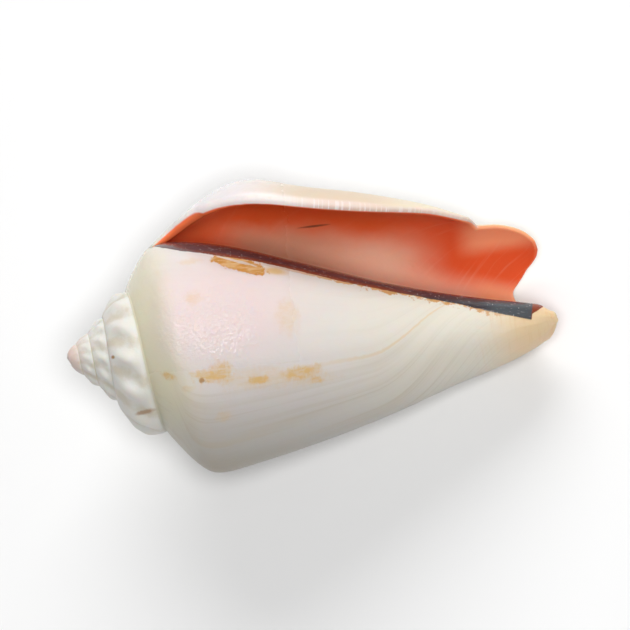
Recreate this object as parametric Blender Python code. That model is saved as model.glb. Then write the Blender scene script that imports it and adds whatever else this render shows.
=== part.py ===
"""A strawberry conch shell: a right-handed sea snail shell, 60 mm long, lying on its back with its mouth up.

The shell is one grown piece, a sheet that winds round an axis. Two numbers place a point on it. The turn counts
whorls back from the outer lip. The run goes along one whorl: 0 at its upper seam, 1 at its shoulder, where the
next whorl's seam lies, and 2 at the front end. Sizes in the tables are millimetres along the axis from the tip
and out from the axis.
"""
import math

import bmesh
import bpy
import numpy as np
from mathutils import Matrix

MM = 0.001

# Driving sizes. The tables below are for TABLE_LENGTH and are scaled to SHELL_LENGTH.
SHELL_LENGTH = 60.0
TABLE_LENGTH = 59.9
DEPTH_RATIO = 0.90
WALL = 1.35

# How the shell lies: turned about its length, then tipped, and worn flat where the back rests.
REST_TURN = 6.5
REST_TIP = 12.4
REST_FLAT = 0.2

# Mesh density, in columns to a whorl and rows along it.
COLUMNS = 52
TIP_TURN = 5
SPIRE_ROWS = 5
FLANK_ROWS = 13
RIM_STEPS = 3

# The hollow goes this far back from the lip, in turns, and the front canal is open to CANAL_TURN. Further back
# the hollow narrows to these shares of its width, and its rear corner stands clear of the inner whorl.
HOLLOW_TURN = 0.8
CANAL_TURN = 0.35
HOLLOW_END = 0.15
CANAL_END = 0.3
CORNER_GAP = 0.2

# The upper seam: turn, along, out.
SEAM = (
    (-0.5, 13.4, 14.2), (0.0, 10.9, 12.55), (0.25, 11.7, 11.2), (0.5, 11.45, 9.9), (0.75, 9.5, 8.55),
    (1.0, 7.75, 7.37), (1.25, 6.8, 6.5), (1.5, 5.95, 5.75), (2.0, 4.65, 4.5), (2.5, 3.7, 3.8),
    (3.0, 2.65, 2.75), (3.5, 1.9, 2.25), (4.0, 1.2, 1.6), (4.5, 0.65, 1.15), (5.0, 0.2, 0.7),
)
# How far a whorl swells past the straight line between its seams, as a share of that line: turn, share.
SWELL = (
    (-0.5, 0.0), (0.0, 0.01), (0.5, 0.03), (1.0, 0.07), (1.5, 0.21), (2.0, 0.15), (2.5, 0.08), (3.0, 0.07),
    (4.0, 0.10), (5.0, 0.12),
)
# The outline from shoulder to front end at the lip, and half a turn, one turn and a turn and a half back.
FLANK_TURNS = (0.0, 0.5, 1.0, 1.5)
FLANK_ALONG = (
    (18.0, 23.3, 29.9, 37.4, 45.0, 50.5, 54.0, 56.9, 58.9),
    (15.75, 17.9, 24.6, 33.1, 41.1, 47.3, 52.2, 56.3, 59.7),
    (10.9, 14.1, 20.9, 29.5, 38.1, 45.4, 51.6, 56.1, 59.5),
    (11.45, 14.1, 20.3, 28.9, 37.4, 45.4, 51.6, 56.0, 59.2),
)
FLANK_OUT = (
    (18.25, 20.1, 18.6, 17.15, 15.1, 13.0, 12.75, 12.0, 10.8),
    (15.2, 15.8, 14.2, 12.0, 9.35, 6.95, 5.35, 3.6, 1.6),
    (12.55, 12.95, 11.85, 9.1, 6.25, 4.25, 2.9, 2.1, 1.45),
    (9.9, 9.7, 7.85, 5.5, 4.05, 2.95, 2.1, 1.35, 0.75),
)
# Where the sheet ends in front, round the siphon's notch: turn, run.
FRONT_EDGE = (
    (-0.2, 1.97), (0.0, 2.0), (0.06, 2.0), (0.11, 1.92), (0.16, 1.82), (0.22, 1.83), (0.35, 1.94), (0.5, 2.0),
    (0.75, 2.0), (1.0, 2.0), (2.0, 2.0),
)
FRONT_START = 1.6
# How far the lip's edge stands from turn 0, with the lip's own notch: run, turns.
LIP_EDGE = (
    (0.0, 0.0), (0.5, -0.01), (1.0, -0.055), (1.125, -0.085), (1.25, -0.09), (1.4, -0.085), (1.5, -0.06),
    (1.585, -0.035), (1.65, 0.025), (1.72, 0.03), (1.85, 0.03), (2.0, 0.055),
)
LIP_REACH = 0.3
# The wall's thickness as a share of WALL: run, share.
THICKNESS = ((0.0, 0.6), (0.5, 0.85), (1.0, 1.0), (1.25, 1.0), (1.5, 0.75), (1.7, 0.55), (2.0, 0.42))
# Low knobs round the spire.
KNOBS_PER_TURN = 11
KNOB_SHARE = 0.02

SHELL_COLOR = (0.83, 0.74, 0.66, 1.0)
SHELL_ROUGHNESS = 0.3


def smooth(low, high, value):
    """0 up to low, 1 from high, with an even curve between."""
    share = np.clip((value - low) / (high - low), 0.0, 1.0)
    return share * share * (3.0 - 2.0 * share)


def curve(keys, values, at):
    """The smooth curve through values at keys, read at each place in at and straight past its ends."""
    keys = np.asarray(keys, float)
    values = np.asarray(values, float)
    slopes = np.gradient(values, keys)
    first = np.clip(np.searchsorted(keys, at) - 1, 0, len(keys) - 2)
    step = keys[first + 1] - keys[first]
    share = (at - keys[first]) / step
    inside = np.clip(share, 0.0, 1.0)
    ease = inside * inside * (3.0 - 2.0 * inside)
    low = values[first] + (share - inside) * step * slopes[first]
    high = values[first + 1] + (share - inside) * step * slopes[first + 1]
    bend = (1.0 - inside) * slopes[first] - inside * slopes[first + 1]
    return low * (1.0 - ease) + high * ease + inside * (1.0 - inside) * step * bend


def column_of(rows, column, at):
    """A column of a table, read at each place in at. The table's first column holds the keys."""
    keys = [row[0] for row in rows]
    return curve(keys, [row[column] for row in rows], at)


def flank(table, turn, run):
    """The outline from the shoulder on: a curve along each key outline, then across them by turn."""
    keys = np.linspace(1.0, 2.0, len(table[0]))
    values = np.array([curve(keys, row, run) for row in table])
    turns = np.asarray(FLANK_TURNS)
    slopes = np.gradient(values, turns, axis=0)
    first = np.clip(np.searchsorted(turns, turn) - 1, 0, len(turns) - 2)
    step = turns[first + 1] - turns[first]
    share = (turn - turns[first]) / step
    inside = np.clip(share, 0.0, 1.0)
    ease = inside * inside * (3.0 - 2.0 * inside)
    place = np.indices(first.shape)
    low_value, high_value = values[(first, *place)], values[(first + 1, *place)]
    low_slope, high_slope = slopes[(first, *place)], slopes[(first + 1, *place)]
    beyond = (share - inside) * step
    bend = inside * (1.0 - inside) * step * ((1.0 - inside) * low_slope - inside * high_slope)
    low = low_value + beyond * low_slope
    high = high_value + beyond * high_slope
    return low * (1.0 - ease) + high * ease + bend


def outline(turn, run):
    """Distance along the axis and out from it, for arrays of turn and run."""
    front = column_of(FRONT_EDGE, 1, turn)
    past = np.maximum(run - FRONT_START, 0.0) / (2.0 - FRONT_START)
    run = np.minimum(run, FRONT_START) + past * (front - FRONT_START)
    on_flank = np.maximum(run, 1.0)
    along = flank(FLANK_ALONG, turn, on_flank)
    out = flank(FLANK_OUT, turn, on_flank)
    shoulder = np.ones_like(turn)
    shoulder_along = flank(FLANK_ALONG, turn, shoulder)
    shoulder_out = flank(FLANK_OUT, turn, shoulder)
    wound = turn >= 1.0
    next_along = np.where(wound, column_of(SEAM, 1, turn - 1.0), shoulder_along)
    next_out = np.where(wound, column_of(SEAM, 2, turn - 1.0), shoulder_out)
    fade = np.clip(2.0 - on_flank, 0.0, 1.0) ** 2
    along = along + (next_along - shoulder_along) * fade
    out = out + (next_out - shoulder_out) * fade
    ramp = np.clip(run, 0.0, 1.0)
    seam_along = column_of(SEAM, 1, turn)
    seam_out = column_of(SEAM, 2, turn)
    knobs = KNOB_SHARE * np.cos(2.0 * math.pi * KNOBS_PER_TURN * turn) * smooth(0.8, 1.2, turn)
    lift = column_of(SWELL, 1, turn) * np.sqrt(np.sin(math.pi * ramp)) + knobs * np.sin(math.pi * ramp) ** 2
    rise_along, rise_out = next_along - seam_along, next_out - seam_out
    ramp_along = seam_along + rise_along * ramp - rise_out * lift
    ramp_out = seam_out + rise_out * ramp + rise_along * lift
    on_ramp = run < 1.0
    return np.where(on_ramp, ramp_along, along), np.where(on_ramp, ramp_out, out)


def place(turn, run):
    """The point at turn and run, in metres: x along the axis, y to the lip's side and z to the mouth's side."""
    along, out = outline(turn, run)
    angle = 2.0 * math.pi * turn
    scale = MM * SHELL_LENGTH / TABLE_LENGTH
    return np.stack([along, out * np.cos(angle), -out * np.sin(angle) * DEPTH_RATIO], axis=-1) * scale


def unit(vectors):
    return vectors / np.maximum(np.linalg.norm(vectors, axis=-1, keepdims=True), 1e-12)


def directions(turn, run):
    """The outward normal and the way the shell grows, at each point."""
    nudge = 0.002
    back = place(turn + nudge, run) - place(turn - nudge, run)
    upper = np.clip(run, nudge, 2.0 - nudge)
    forward = place(turn, upper + nudge) - place(turn, upper - nudge)
    normal = unit(np.cross(forward, back))
    return normal, -unit(back), unit(forward)


def sheets():
    """Points of the outer face, of the hollow's face, and round the rim that joins them."""
    rows = SPIRE_ROWS + FLANK_ROWS
    runs = np.concatenate([np.linspace(0.0, 1.0, SPIRE_ROWS + 1), np.linspace(1.0, 2.0, FLANK_ROWS + 1)[1:]])
    turns = np.arange(TIP_TURN * COLUMNS + 1) / COLUMNS
    turn, run = np.meshgrid(turns, runs, indexing="ij")
    near_lip = np.clip(1.0 - turn / LIP_REACH, 0.0, 1.0)
    turn = turn + column_of(LIP_EDGE, 1, run) * near_lip**1.5
    outer = place(turn, run)

    hollow = int(HOLLOW_TURN * COLUMNS) + 1
    canal = int(CANAL_TURN * COLUMNS)
    turn, run = turn[:hollow], run[:hollow]
    normal, growth, forward = directions(turn, run)
    inner = outer[:hollow] - normal * column_of(THICKNESS, 1, run)[..., None] * WALL * MM
    core = outer[COLUMNS:COLUMNS + hollow].copy()
    core[:, : SPIRE_ROWS + 1] = core[:, SPIRE_ROWS + 1 : SPIRE_ROWS + 2]
    corner = core[:, 0] + unit(outer[:hollow, 1] - core[:, 0]) * CORNER_GAP * MM
    slack = (corner - inner[:, 0])[:, None, :] * np.clip(1.0 - run, 0.0, 1.0)[..., None]
    inner = inner + slack
    closing = 1.0 - (1.0 - HOLLOW_END) * smooth(0.5 * HOLLOW_TURN, HOLLOW_TURN, turn)
    behind_canal = smooth(FRONT_START, 2.0, run) * smooth(CANAL_TURN - 0.1, CANAL_TURN + 0.1, turn)
    closing = closing * (1.0 - (1.0 - CANAL_END) * behind_canal)
    inner = core + (inner - core) * closing[..., None]

    edge = [(0, row) for row in range(rows + 1)] + [(column, rows) for column in range(1, canal + 1)]
    rim = {}
    for column, row in edge:
        way = forward[column, row] * (row == rows) + growth[column, row] * (column == 0)
        middle = (outer[column, row] + inner[column, row]) / 2.0
        arm = outer[column, row] - middle
        for step in range(1, RIM_STEPS):
            angle = math.pi * step / RIM_STEPS
            bulge = unit(way) * np.linalg.norm(arm) * math.sin(angle)
            rim[column, row, step] = middle + arm * math.cos(angle) + bulge
    return outer, inner, rim, edge, canal


class Skin:
    """Collects points under names, so that patches which meet share them, and the faces between."""

    def __init__(self):
        self.numbers = {}
        self.points = []
        self.faces = []

    def point(self, name, position):
        if name not in self.numbers:
            self.numbers[name] = len(self.points)
            self.points.append(tuple(position))
        return self.numbers[name]

    def face(self, corners):
        if len(set(corners)) > 2:
            self.faces.append(corners)

    def strip(self, left, right):
        for k in range(len(left) - 1):
            self.face((left[k], left[k + 1], right[k + 1], right[k]))

    def fan(self, loop):
        centre = np.mean([self.points[k] for k in loop], axis=0)
        middle = self.point(("centre", len(self.points)), centre)
        for k, corner in enumerate(loop):
            self.face((corner, loop[(k + 1) % len(loop)], middle))


def grow():
    """The whole closed skin of the shell."""
    outer, inner, rim, edge, canal = sheets()
    skin = Skin()
    rows = SPIRE_ROWS + FLANK_ROWS
    last = TIP_TURN * COLUMNS
    hollow = len(inner) - 1

    def on_outer(column, row):
        if row == 0 and column + COLUMNS <= last:
            column, row = column + COLUMNS, SPIRE_ROWS
        return skin.point(("outer", column, row), outer[column, row])

    def on_inner(column, row):
        return skin.point(("inner", column, row), inner[column, row])

    def round_rim(column, row):
        steps = [skin.point(("rim", column, row, k), rim[column, row, k]) for k in range(1, RIM_STEPS)]
        return [on_outer(column, row), *steps, on_inner(column, row)]

    for row in range(rows):
        body = range(COLUMNS + 1)
        skin.strip([on_outer(k, row) for k in body], [on_outer(k, row + 1) for k in body])
        cavity = range(hollow + 1)
        skin.strip([on_inner(k, row) for k in cavity], [on_inner(k, row + 1) for k in cavity])
    for row in range(SPIRE_ROWS):
        spire = range(COLUMNS, last + 1)
        skin.strip([on_outer(k, row) for k in spire], [on_outer(k, row + 1) for k in spire])
    for row in range(SPIRE_ROWS + 1, rows):
        pillar = range(COLUMNS, COLUMNS + hollow + 1)
        skin.strip([on_outer(k, row) for k in pillar], [on_outer(k, row + 1) for k in pillar])

    first = SPIRE_ROWS + 1
    for k in range(hollow):
        upper = (on_outer(COLUMNS + k, first), on_outer(COLUMNS + k + 1, first))
        skin.face((*upper, on_inner(k + 1, 0), on_inner(k, 0)))
        if k >= canal:
            lower = (on_outer(COLUMNS + k, rows), on_outer(COLUMNS + k + 1, rows))
            skin.face((*lower, on_inner(k + 1, rows), on_inner(k, rows)))
    for before, after in zip(edge[:-1], edge[1:]):
        skin.strip(round_rim(*before), round_rim(*after))

    skin.fan([*round_rim(0, 0), on_outer(COLUMNS, first)])
    back = [on_inner(hollow, row) for row in range(rows + 1)]
    pillar = [on_outer(COLUMNS + hollow, row) for row in range(first, rows + 1)]
    for row in range(first):
        skin.face((back[row], back[row + 1], pillar[0]))
    skin.strip(back[first:], pillar)
    front = [on_outer(k, rows) for k in range(canal, COLUMNS + canal + 1)]
    skin.fan([*front, *reversed(round_rim(canal, rows)[1:])])
    tip = [on_outer(k, 0) for k in range(last - COLUMNS, last + 1)]
    skin.fan([*tip, *[on_outer(last, row) for row in range(1, SPIRE_ROWS)]])
    return skin


def lie_down(points):
    """Turns and tips the points, wears the lowest flat, and sets them down centred over the origin."""
    rest = Matrix.Rotation(math.radians(REST_TIP), 4, "Y") @ Matrix.Rotation(math.radians(REST_TURN), 4, "X")
    points = points @ np.array(rest.to_3x3()).T
    floor = points[:, 2].min() + REST_FLAT * MM
    points[:, 2] = np.maximum(points[:, 2], floor)
    middle = (points.min(axis=0) + points.max(axis=0)) / 2.0
    return points - np.array([middle[0], middle[1], floor])


def shell_material():
    material = bpy.data.materials.new("porcelain_shell")
    material.use_nodes = True
    surface = material.node_tree.nodes["Principled BSDF"]
    surface.inputs["Base Color"].default_value = SHELL_COLOR
    surface.inputs["Roughness"].default_value = SHELL_ROUGHNESS
    surface.inputs["Metallic"].default_value = 0.0
    return material


def add_shell(collection):
    skin = grow()
    mesh = bpy.data.meshes.new("conch_shell")
    mesh.from_pydata(lie_down(np.array(skin.points)).tolist(), [], skin.faces)
    surface = bmesh.new()
    surface.from_mesh(mesh)
    bmesh.ops.recalc_face_normals(surface, faces=surface.faces)
    bmesh.ops.triangulate(surface, faces=surface.faces)
    surface.to_mesh(mesh)
    surface.free()
    mesh.shade_smooth()
    mesh.set_sharp_from_angle(angle=math.radians(50.0))
    mesh.materials.append(shell_material())
    shell = bpy.data.objects.new("conch_shell", mesh)
    collection.objects.link(shell)
    return shell


def main():
    for old in list(bpy.data.objects):
        bpy.data.objects.remove(old)
    collection = bpy.data.collections.new("strawberry_conch_shell")
    bpy.context.scene.collection.children.link(collection)
    add_shell(collection)


main()
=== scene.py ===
# Strawberry conch shell, lying on its back with its mouth up.
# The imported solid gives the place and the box; the shell seen here is wound and finished in this file.
import math

import bpy
import numpy as np
from mathutils import Matrix, Vector


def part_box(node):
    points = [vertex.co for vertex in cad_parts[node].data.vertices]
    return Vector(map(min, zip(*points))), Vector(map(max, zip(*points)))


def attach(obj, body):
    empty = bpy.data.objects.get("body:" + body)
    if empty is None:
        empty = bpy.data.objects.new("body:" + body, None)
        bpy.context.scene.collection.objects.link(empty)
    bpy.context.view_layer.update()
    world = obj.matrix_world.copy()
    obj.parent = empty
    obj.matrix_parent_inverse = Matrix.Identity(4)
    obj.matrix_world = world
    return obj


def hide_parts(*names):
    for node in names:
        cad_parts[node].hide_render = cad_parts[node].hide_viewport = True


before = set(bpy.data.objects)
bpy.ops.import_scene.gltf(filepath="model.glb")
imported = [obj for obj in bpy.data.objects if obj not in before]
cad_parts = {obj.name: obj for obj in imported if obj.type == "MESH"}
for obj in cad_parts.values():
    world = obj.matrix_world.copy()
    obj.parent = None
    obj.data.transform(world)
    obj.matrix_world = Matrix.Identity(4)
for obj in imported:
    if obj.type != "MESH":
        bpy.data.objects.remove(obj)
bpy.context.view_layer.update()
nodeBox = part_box("conch_shell")
mm = 0.001


# Wiring: arithmetic on sockets, and one way to add any other node

class Wire:
    def __init__(self, bench, socket):
        self.bench = bench
        self.socket = socket

    def sum(self, operation, *others):
        return self.bench.node("ShaderNodeMath", {"operation": operation}, dict(enumerate((self, *others))))

    def __add__(self, other):
        return self.sum("ADD", other)

    def __mul__(self, other):
        return self.sum("MULTIPLY", other)

    def __sub__(self, other):
        return self.sum("SUBTRACT", other)

    def __rsub__(self, other):
        return self * -1.0 + other

    def __truediv__(self, other):
        return self.sum("DIVIDE", other)

    def __pow__(self, other):
        return self.sum("POWER", other)

    __radd__ = __add__
    __rmul__ = __mul__

    def most(self, other):
        return self.sum("MAXIMUM", other)

    def size(self):
        return self.sum("ABSOLUTE")

    def ramp(self, low, high, interpolation="SMOOTHSTEP"):
        # 0 at low, 1 at high, eased between
        return self.bench.node("ShaderNodeMapRange", {"interpolation_type": interpolation},
                               {"Value": self, "From Min": low, "From Max": high})

    def out(self, name):
        return Wire(self.bench, self.socket.node.outputs[name])


class Bench:
    def __init__(self, tree):
        self.tree = tree

    def node(self, kind, settings=None, inputs=None, out=0):
        made = self.tree.nodes.new(kind)
        for name, value in (settings or {}).items():
            setattr(made, name, value)
        for name, value in (inputs or {}).items():
            if isinstance(value, Wire):
                self.tree.links.new(value.socket, made.inputs[name])
            else:
                made.inputs[name].default_value = value
        return Wire(self, made.outputs[out]) if len(made.outputs) else made

    def mix(self, share, first, second):
        # colours only: share 0 keeps the first
        return self.node("ShaderNodeMix", {"data_type": "RGBA"}, {0: share, 6: first, 7: second}, out=2)

    def noise(self, place, scale, detail=3.0, roughness=0.5, kind="3D"):
        # 0 to 1, about 0.5
        return self.node("ShaderNodeTexNoise", {"noise_dimensions": kind},
                         {"W" if kind == "1D" else "Vector": place, "Scale": scale, "Detail": detail,
                          "Roughness": roughness})

    def vector(self, x=0.0, y=0.0, z=0.0):
        return self.node("ShaderNodeCombineXYZ", None, {0: x, 1: y, 2: z})


# The shell's form, in millimetres: along the axis from the tip, and out from it.
# A turn counts whorls back from the lip. A run is 0 at a whorl's upper seam, 1 at its shoulder, 2 in front.
shellForm = {
    "length": 60.0,
    "tableLength": 59.9,
    "depthRatio": 0.90,
    "wall": 1.35,
    "restTurn": 6.5,       # degrees about its length
    "restTip": 12.4,       # degrees, front end down
    "restFlat": 0.2,       # worn off the back where it lies
    "columns": 200,        # in one whorl
    "crowding": 0.55,      # columns stand closer at the lip and under it
    "tipTurn": 5,
    "spireRows": 18,
    "flankRows": 100,
    "rimSteps": 10,
    "hollowTurn": 0.8,
    "canalTurn": 0.35,
    "hollowEnd": 0.15,
    "canalEnd": 0.3,
    "cornerGap": 0.2,
    "cornerRow": 10,       # rows from the seam to the hollow's rear corner, which the shell fills
    "frontStart": 1.6,
    "lipReach": 0.3,
    "shoulderRounds": 60,  # how often the shoulder is evened out
    "hollowRounds": 40,
    "domeSteps": 5,
    "domeHeight": 0.8,
    "tipStart": 1.93,      # run where the front end begins to round off
    "tipThins": 0.6,
    "tipPlace": -0.0001,   # metres along, where the spire's tip closes
}
# turn, along, out of the upper seam of each whorl
seam = (
    (-0.5, 13.4, 14.2), (0.0, 10.9, 12.55), (0.25, 11.7, 11.2), (0.5, 11.45, 9.9), (0.75, 9.5, 8.55),
    (1.0, 7.75, 7.37), (1.25, 6.8, 6.5), (1.5, 5.95, 5.75), (2.0, 4.65, 4.5), (2.5, 3.7, 3.8),
    (3.0, 2.65, 2.75), (3.5, 1.9, 2.25), (4.0, 1.1, 1.55), (4.5, 0.42, 1.0), (5.0, 0.0, 0.45),
)
# turn, bulge of the spire's whorls between their seams
swell = (
    (-0.5, 0.0), (0.0, 0.01), (0.5, 0.03), (1.0, 0.07), (1.5, 0.21), (2.0, 0.15), (2.5, 0.08), (3.0, 0.07),
    (4.0, 0.10), (5.0, 0.12),
)
# along and out of the flank, a row for each of these turns, from shoulder to front end
flankTurns = (0.0, 0.5, 1.0, 1.5)
flankAlong = (
    (18.0, 23.3, 29.9, 37.4, 45.0, 50.5, 54.0, 56.9, 58.9),
    (15.75, 17.9, 24.6, 33.1, 41.1, 47.3, 52.2, 56.3, 59.7),
    (10.9, 14.1, 20.9, 29.5, 38.1, 45.4, 51.6, 56.1, 59.5),
    (11.45, 14.1, 20.3, 28.9, 37.4, 45.4, 51.6, 56.0, 59.2),
)
flankOut = (
    (18.25, 20.1, 18.6, 17.15, 15.1, 13.0, 12.75, 12.0, 10.8),
    (15.2, 15.8, 14.2, 12.0, 9.35, 6.95, 5.35, 3.6, 1.6),
    (12.55, 12.95, 11.85, 9.1, 6.25, 4.25, 2.9, 2.1, 1.45),
    (9.9, 9.7, 7.85, 5.5, 4.05, 2.95, 2.1, 1.35, 0.75),
)
# turn, run at which the sheet ends in front: the lobe and the notch beside it
frontEdge = (
    (-0.2, 1.975), (0.0, 1.975), (0.069, 1.973), (0.09, 1.96), (0.112, 1.927), (0.13, 1.893), (0.149, 1.866),
    (0.167, 1.839), (0.18, 1.821), (0.19, 1.816), (0.201, 1.822), (0.22, 1.842), (0.28, 1.90), (0.35, 1.95),
    (0.5, 2.0), (0.75, 2.0), (1.0, 2.0), (2.0, 2.0),
)
# run, turn at which the outer lip starts
lipEdge = (
    (0.0, 0.0), (0.5, -0.01), (1.0, -0.055), (1.125, -0.08), (1.25, -0.082), (1.4, -0.077), (1.5, -0.056),
    (1.58, -0.036), (1.615, -0.018), (1.65, 0.027), (1.68, 0.031), (1.725, 0.032), (1.825, 0.033),
    (1.887, 0.037), (1.95, 0.045), (1.987, 0.056), (2.0, 0.072),
)
# run, share of the wall's thickness
thickness = ((0.0, 0.9), (0.5, 1.1), (1.0, 1.0), (1.25, 0.9), (1.5, 0.75), (1.7, 0.5), (2.0, 0.4))


def ease(low, high, value):
    share = np.clip((value - low) / (high - low), 0.0, 1.0)
    return share * share * (3.0 - 2.0 * share)


def hermite(keys, values, slopes, at, pick):
    # a smooth curve through values at keys, straight past its ends
    first = np.clip(np.searchsorted(keys, at) - 1, 0, len(keys) - 2)
    step = keys[first + 1] - keys[first]
    share = (at - keys[first]) / step
    inside = np.clip(share, 0.0, 1.0)
    weight = inside * inside * (3.0 - 2.0 * inside)
    beyond = (share - inside) * step
    low, high = pick(values, first), pick(values, first + 1)
    lowSlope, highSlope = pick(slopes, first), pick(slopes, first + 1)
    bend = inside * (1.0 - inside) * step * ((1.0 - inside) * lowSlope - inside * highSlope)
    return (low + beyond * lowSlope) * (1.0 - weight) + (high + beyond * highSlope) * weight + bend


def curve(keys, values, at):
    keys, values = np.asarray(keys, float), np.asarray(values, float)
    return hermite(keys, values, np.gradient(values, keys), at, lambda table, k: table[k])


def tableAt(rows, column, at):
    return curve([row[0] for row in rows], [row[column] for row in rows], at)


def flank(table, turn, run):
    keys = np.linspace(1.0, 2.0, len(table[0]))
    values = np.array([curve(keys, row, run) for row in table])
    turns = np.asarray(flankTurns)
    spot = np.indices(turn.shape)
    return hermite(turns, values, np.gradient(values, turns, axis=0), turn, lambda t, k: t[(k, *spot)])


def outline(turn, run):
    start = shellForm["frontStart"]
    past = np.maximum(run - start, 0.0) / (2.0 - start)
    run = np.minimum(run, start) + past * (tableAt(frontEdge, 1, turn) - start)
    onFlank = np.maximum(run, 1.0)
    along, out = flank(flankAlong, turn, onFlank), flank(flankOut, turn, onFlank)
    shoulder = np.ones_like(turn)
    shoulderAlong, shoulderOut = flank(flankAlong, turn, shoulder), flank(flankOut, turn, shoulder)
    nextAlong = np.where(turn >= 1.0, tableAt(seam, 1, turn - 1.0), shoulderAlong)
    nextOut = np.where(turn >= 1.0, tableAt(seam, 2, turn - 1.0), shoulderOut)
    fade = np.clip(2.0 - onFlank, 0.0, 1.0) ** 2
    along = along + (nextAlong - shoulderAlong) * fade
    out = out + (nextOut - shoulderOut) * fade
    ramp = np.clip(run, 0.0, 1.0)
    seamAlong, seamOut = tableAt(seam, 1, turn), tableAt(seam, 2, turn)
    riseAlong, riseOut = nextAlong - seamAlong, nextOut - seamOut
    lift = tableAt(swell, 1, turn) * np.sqrt(np.sin(math.pi * ramp))
    rampAlong = seamAlong + riseAlong * ramp - riseOut * lift
    rampOut = seamOut + riseOut * ramp + riseAlong * lift
    return np.where(run < 1.0, rampAlong, along), np.where(run < 1.0, rampOut, out)


def wind(sheet):
    # the rule of the shell: a flat sheet of (along, out, turn) rolled up round its axis
    angle = 2.0 * math.pi * sheet[..., 2]
    out = sheet[..., 1]
    flat = -out * np.sin(angle) * shellForm["depthRatio"]
    return np.stack([sheet[..., 0], out * np.cos(angle), flat], axis=-1)


def unwind(points, nearTurn):
    flatZ = -points[..., 2] / shellForm["depthRatio"]
    angle = np.arctan2(flatZ, points[..., 1]) / (2.0 * math.pi)
    turn = angle + np.round(nearTurn - angle)
    return np.stack([points[..., 0], np.hypot(points[..., 1], flatZ), turn], axis=-1)


def flatSheet(turn, run):
    along, out = outline(turn, run)
    scale = mm * shellForm["length"] / shellForm["tableLength"]
    return np.stack([along * scale, out * scale, turn], axis=-1)


def unit(vectors):
    return vectors / np.maximum(np.linalg.norm(vectors, axis=-1, keepdims=True), 1e-12)


def evenOut(points, weight, rounds):
    # draws each point of a row towards the middle of its neighbours, in place
    for turnOver in range(rounds):
        middle = (points[:, :-2] + points[:, 2:]) / 2.0
        points[:, 1:-1] += (middle - points[:, 1:-1]) * weight[:, 1:-1, None] / 2.0


def growSheets():
    form = shellForm
    columns, rows = form["columns"], form["spireRows"] + form["flankRows"]
    runs = np.concatenate([np.linspace(0.0, 1.0, form["spireRows"] + 1),
                           np.linspace(1.0, 2.0, form["flankRows"] + 1)[1:]])
    count = np.arange(form["tipTurn"] * columns + 1) / columns
    count = count - form["crowding"] * np.sin(2.0 * math.pi * count) / (2.0 * math.pi)
    turn, run = np.meshgrid(count, runs, indexing="ij")
    nearLip = np.clip(1.0 - turn / form["lipReach"], 0.0, 1.0)
    turn = turn + tableAt(lipEdge, 1, run) * nearLip**1.5
    outerSheet = flatSheet(turn, run)
    tip = np.clip((run - form["tipStart"]) / (2.0 - form["tipStart"]), 0.0, 1.0) * ease(0.35, 0.5, turn)
    outerSheet[..., 1] *= np.sqrt(1.0 - form["tipThins"] * tip**2)
    shoulder = (1.0 - ease(0.85, 1.0, turn)) * (0.25 + 0.75 * ease(0.05, 0.3, turn))
    shoulder = shoulder * ease(0.05, 0.5, run) * (1.0 - ease(1.4, 1.6, run))
    evenOut(outerSheet[..., :2], shoulder, form["shoulderRounds"])
    outer = wind(outerSheet)

    hollow = int(np.searchsorted(count, form["hollowTurn"])) + 1
    canal = int(np.searchsorted(count, form["canalTurn"]))
    inTurn, inRun = turn[:hollow], run[:hollow]
    back, forward = unit(np.gradient(outer, axis=0)[:hollow]), unit(np.gradient(outer, axis=1)[:hollow])
    normal, growth = unit(np.cross(forward, back)), -back
    inner = outer[:hollow] - normal * tableAt(thickness, 1, inRun)[..., None] * form["wall"] * mm
    evenOut(inner, ease(0.1, 0.5, inRun) * (1.0 - ease(1.3, 1.5, inRun)), form["hollowRounds"])
    firstRow = form["spireRows"] + form["cornerRow"]
    core = outer[columns:columns + hollow].copy()
    core[:, :firstRow] = core[:, firstRow:firstRow + 1]
    corner = core[:, 0] + unit(outer[:hollow, 1] - core[:, 0]) * form["cornerGap"] * mm
    inner = inner + (corner - inner[:, 0])[:, None, :] * (np.clip(1.0 - inRun, 0.0, 1.0) ** 2)[..., None]
    closing = 1.0 - (1.0 - form["hollowEnd"]) * ease(0.5 * form["hollowTurn"], form["hollowTurn"], inTurn)
    canalTurn = form["canalTurn"]
    behind = ease(form["frontStart"], 2.0, inRun) * ease(canalTurn - 0.1, canalTurn + 0.1, inTurn)
    inner = core + (inner - core) * (closing * (1.0 - (1.0 - form["canalEnd"]) * behind))[..., None]

    edge = [(0, row) for row in range(rows + 1)] + [(column, rows) for column in range(1, canal + 1)]
    rim = {}
    spots = tuple(np.transpose(edge))
    ways = unit(np.cross(normal[spots], np.gradient(outer[spots], axis=0)))
    ways = ways * np.sign((ways[rows // 2] * growth[0, rows // 2]).sum())
    for (column, row), way in zip(edge, ways):
        middle = (outer[column, row] + inner[column, row]) / 2.0
        arm = outer[column, row] - middle
        for step in range(1, form["rimSteps"]):
            angle = math.pi * step / form["rimSteps"]
            point = middle + arm * math.cos(angle) + way * np.linalg.norm(arm) * math.sin(angle)
            rim[column, row, step] = unwind(point, turn[column, row])
    return {"outer": outerSheet, "inner": unwind(inner, inTurn), "rim": rim, "edge": edge, "turn": turn,
            "run": run, "canal": canal, "hollow": hollow - 1, "rows": rows, "first": firstRow}


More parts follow.
